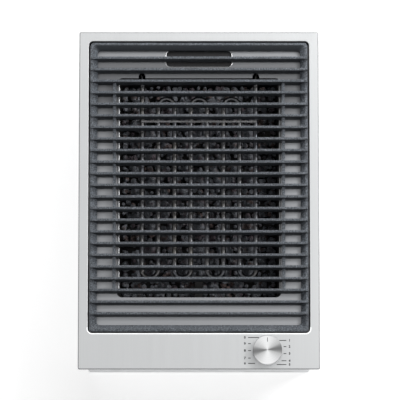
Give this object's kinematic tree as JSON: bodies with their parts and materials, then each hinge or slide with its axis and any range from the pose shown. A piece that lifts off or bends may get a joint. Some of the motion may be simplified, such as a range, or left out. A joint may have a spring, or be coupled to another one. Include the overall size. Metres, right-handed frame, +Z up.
{
  "type": "built-in barbecue cooktop",
  "caption": "Electric worktop barbecue: steel plate, cast-iron bar grate over a heating element and lava stones, lift-out frame, one control knob, casing with swivel clamps.",
  "frame": {"origin": "centre of the base of the casing, on the surface that it can stand on", "axes": "+Z up out of the worktop, +Y to the rear of the worktop, +X to the right of the cook"},
  "size_m": [0.36, 0.51, 0.175],
  "materials": {
    "brushed_stainless": "brushed, fine straight grain",
    "satin_stainless": "satin sheet",
    "galvanised": "galvanised sheet, faint spangle",
    "aluminised": "dull aluminised sheet",
    "cast_iron": "rough cast, matt enamel",
    "lava": "porous lava, grey to red-brown",
    "heater_sheath": "heat-darkened nickel alloy",
    "knob_metal": "spun face, satin side",
    "black_moulding": "matt moulding",
    "pale_moulding": "matt moulding",
    "ceramic": "unglazed ceramic",
    "bush_bronze": "plain turned bush",
    "zinc_steel": "zinc-plated steel",
    "seal_rubber": "closed-cell foam and silicone",
    "lead_sleeve": "heat-proof silicone sleeve",
    "earth_sleeve": "green and yellow sleeve"
  },
  "bodies": {
    "base": {"top_plate": "brushed_stainless", "worktop_seal": "seal_rubber", "well": "satin_stainless", "casing_front": "galvanised", "casing_rear": "galvanised", "casing_right_side": "galvanised", "casing_left_side": "galvanised", "bottom_cover": "galvanised", "bottom_cover_screws": "zinc_steel", "right_heat_shield": "aluminised", "left_heat_shield": "aluminised", "front_heat_shield": "aluminised", "lava_tray": "satin_stainless", "lava_stones": "lava", "right_hinge_bracket": "galvanised", "left_hinge_bracket": "galvanised", "hinge_bushes": "bush_bronze", "hinge_rivets": "zinc_steel", "knob_seal": "seal_rubber", "energy_regulator": "black_moulding", "regulator_bracket": "galvanised", "regulator_screws": "zinc_steel", "terminal_block": "pale_moulding", "terminal_block_screws": "zinc_steel", "cable_gland": "black_moulding", "gland_nut": "black_moulding", "earth_stud": "zinc_steel", "earth_nut": "zinc_steel", "thermal_cutout": "ceramic", "cutout_clamp": "galvanised", "left_element_lead": "lead_sleeve", "right_element_lead": "lead_sleeve", "cutout_lead": "lead_sleeve", "live_lead": "lead_sleeve", "neutral_lead": "lead_sleeve", "earth_lead": "earth_sleeve", "clamp_screws": "zinc_steel", "clamp_nuts": "zinc_steel"},
    "knob": {"knob_cap": "knob_metal", "knob_core": "black_moulding", "knob_clip": "zinc_steel", "regulator_shaft": "zinc_steel"},
    "frame": {"liner_frame": "satin_stainless"},
    "grate": {"grate": "cast_iron"},
    "heater": {"heating_element": "heater_sheath", "element_tie": "heater_sheath", "element_rest": "heater_sheath", "terminal_insulators": "ceramic", "terminal_studs": "zinc_steel"},
    "front_right_clamp": {"front_right_clamp": "zinc_steel"},
    "front_left_clamp": {"front_left_clamp": "zinc_steel"},
    "rear_right_clamp": {"rear_right_clamp": "zinc_steel"},
    "rear_left_clamp": {"rear_left_clamp": "zinc_steel"}
  },
  "joints": [
    {"name": "knob_turn", "type": "hinge", "parent": "base", "child": "knob", "pos_m": [0.1015, -0.2277, 0.16], "axis": [0, 0, -1], "range_deg": [0, 301]},
    {"name": "frame_lift", "type": "slide", "parent": "base", "child": "frame", "axis": [0, 0, 1], "range_m": [0, 0.12]},
    {"name": "grate_lift", "type": "slide", "parent": "frame", "child": "grate", "axis": [0, 0, 1], "range_m": [0, 0.314]},
    {"name": "heater_tilt", "type": "hinge", "parent": "base", "child": "heater", "pos_m": [0, 0.2, 0.119], "axis": [-1, 0, 0], "range_deg": [0, 60]},
    {"name": "front_right_clamp_swivel", "type": "hinge", "parent": "base", "child": "front_right_clamp", "pos_m": [0.16275, -0.165, 0.1], "axis": [0, 0, -1], "range_deg": [0, 90]},
    {"name": "front_left_clamp_swivel", "type": "hinge", "parent": "base", "child": "front_left_clamp", "pos_m": [-0.16275, -0.165, 0.1], "axis": [0, 0, 1], "range_deg": [0, 90]},
    {"name": "rear_right_clamp_swivel", "type": "hinge", "parent": "base", "child": "rear_right_clamp", "pos_m": [0.16275, 0.165, 0.1], "axis": [0, 0, 1], "range_deg": [0, 90]},
    {"name": "rear_left_clamp_swivel", "type": "hinge", "parent": "base", "child": "rear_left_clamp", "pos_m": [-0.16275, 0.165, 0.1], "axis": [0, 0, -1], "range_deg": [0, 90]}
  ],
  "couplings": [
    {"joint": "heater_tilt", "follows": "grate_lift", "rad_per_m": 3.3333}
  ]
}
